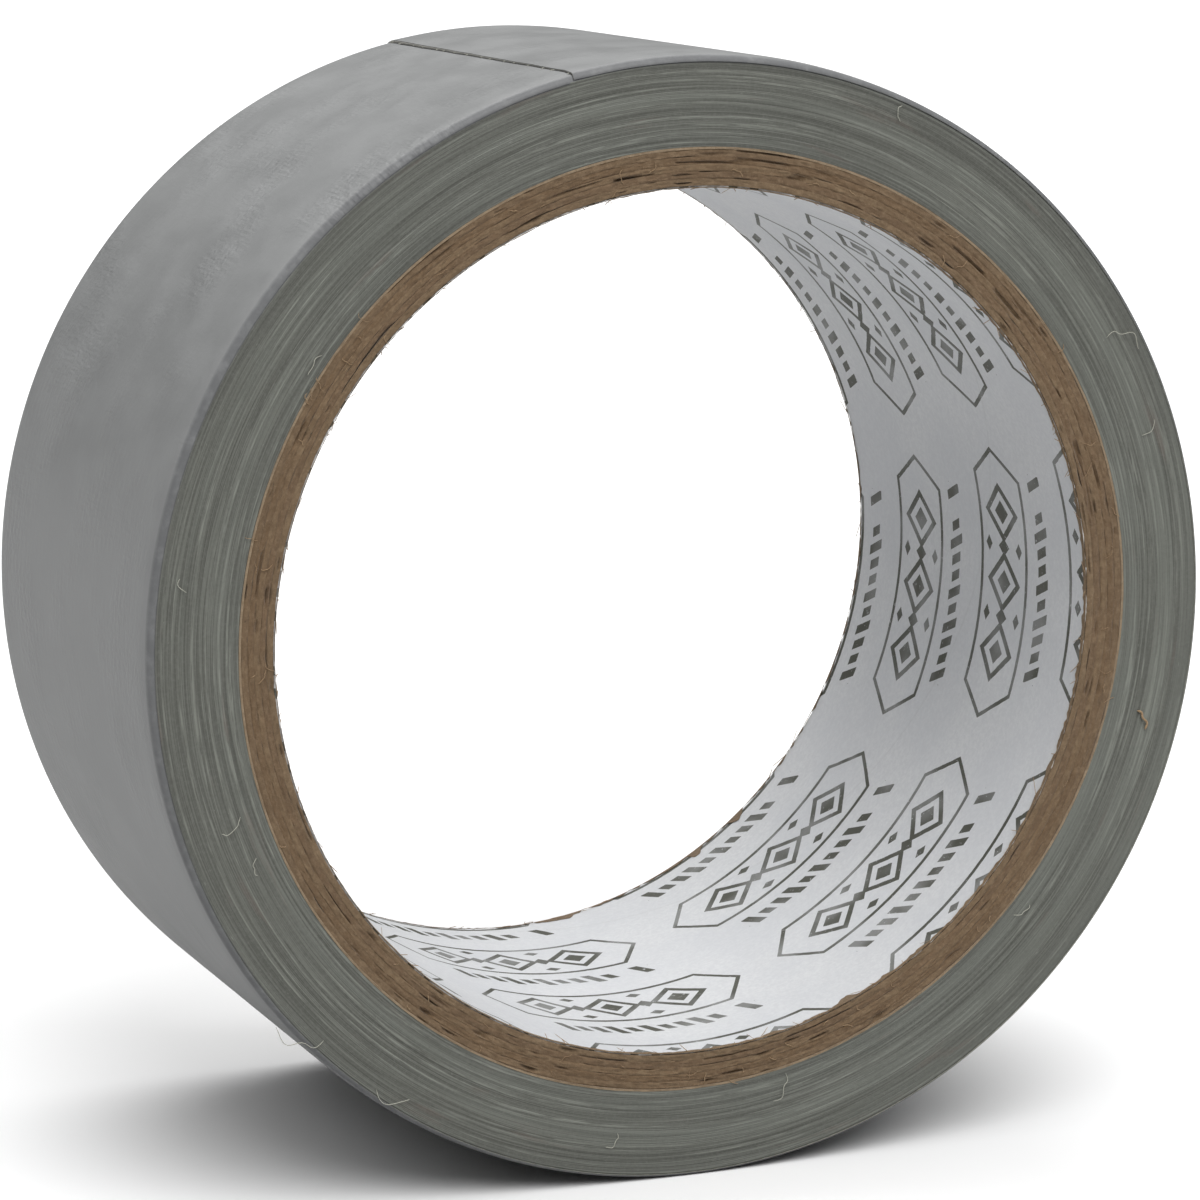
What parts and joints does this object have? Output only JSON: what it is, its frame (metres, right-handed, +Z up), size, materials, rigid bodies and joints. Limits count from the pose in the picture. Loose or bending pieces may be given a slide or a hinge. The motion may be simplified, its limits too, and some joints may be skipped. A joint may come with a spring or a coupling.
{
  "type": "duct tape roll",
  "caption": "Full roll of grey cloth-backed tape wound on a kraft paper core with a printed white liner; its free end peels back from the rim.",
  "frame": {"origin": "centre of the bore at mid width", "axes": "+Y along the roll's axis from the front side face to the back one, +Z up with the roll standing on its rim; the free end lies on top and ends at 103.7 degrees, counter-clockwise from +X as seen from the front"},
  "size_m": [0.0989, 0.048, 0.0989],
  "materials": {
    "liner_paper": "smooth uncoated white paper with a dark olive print",
    "kraft_paper": "rough cut fibre, brown",
    "wrap_paper": "pale tan paper, cut edge",
    "backing_film": "satin grey polyethylene with a faint cloth emboss",
    "wound_side": "slit edge of many thin turns, dull grey-green",
    "cloth_scrim": "open pale weave",
    "adhesive": "tacky grey-green rubber adhesive"
  },
  "bodies": {
    "roll": {"core_liner": "liner_paper", "core_ply_1": "kraft_paper", "core_ply_2": "kraft_paper", "core_ply_3": "kraft_paper", "core_ply_4": "kraft_paper", "core_ply_5": "kraft_paper", "core_wrap": "wrap_paper", "wound_tape": "wound_side", "outer_adhesive": "adhesive", "outer_scrim": "cloth_scrim", "outer_film": "backing_film"},
    "free_end_1": {"end_adhesive_1": "adhesive", "end_scrim_1": "cloth_scrim", "end_film_1": "backing_film"},
    "free_end_2": {"end_adhesive_2": "adhesive", "end_scrim_2": "cloth_scrim", "end_film_2": "backing_film"},
    "free_end_3": {"end_adhesive_3": "adhesive", "end_scrim_3": "cloth_scrim", "end_film_3": "backing_film"},
    "free_end_4": {"end_adhesive_4": "adhesive", "end_scrim_4": "cloth_scrim", "end_film_4": "backing_film"},
    "free_end_5": {"end_adhesive_5": "adhesive", "end_scrim_5": "cloth_scrim", "end_film_5": "backing_film"},
    "free_end_6": {"end_adhesive_6": "adhesive", "end_scrim_6": "cloth_scrim", "end_film_6": "backing_film"}
  },
  "joints": [
    {"name": "peel_1", "type": "hinge", "parent": "roll", "child": "free_end_1", "pos_m": [0.02789, 0, 0.04089], "axis": [0, 1, 0], "range_deg": [0, 60]},
    {"name": "peel_2", "type": "hinge", "parent": "free_end_1", "child": "free_end_2", "pos_m": [0.02193, 0, 0.04438], "axis": [0, 1, 0], "range_deg": [0, 30]},
    {"name": "peel_3", "type": "hinge", "parent": "free_end_2", "child": "free_end_3", "pos_m": [0.01554, 0, 0.047], "axis": [0, 1, 0], "range_deg": [0, 15]},
    {"name": "peel_4", "type": "hinge", "parent": "free_end_3", "child": "free_end_4", "pos_m": [0.00885, 0, 0.0487], "axis": [0, 1, 0], "range_deg": [0, 9]},
    {"name": "peel_5", "type": "hinge", "parent": "free_end_4", "child": "free_end_5", "pos_m": [0.00199, 0, 0.04946], "axis": [0, 1, 0], "range_deg": [0, 6]},
    {"name": "peel_6", "type": "hinge", "parent": "free_end_5", "child": "free_end_6", "pos_m": [-0.00492, 0, 0.04926], "axis": [0, 1, 0], "range_deg": [0, 6]}
  ],
  "couplings": [
    {"joint": "peel_2", "follows": "peel_1", "ratio": 0.5},
    {"joint": "peel_3", "follows": "peel_1", "ratio": 0.25},
    {"joint": "peel_4", "follows": "peel_1", "ratio": 0.15},
    {"joint": "peel_5", "follows": "peel_1", "ratio": 0.1},
    {"joint": "peel_6", "follows": "peel_1", "ratio": 0.1}
  ]
}
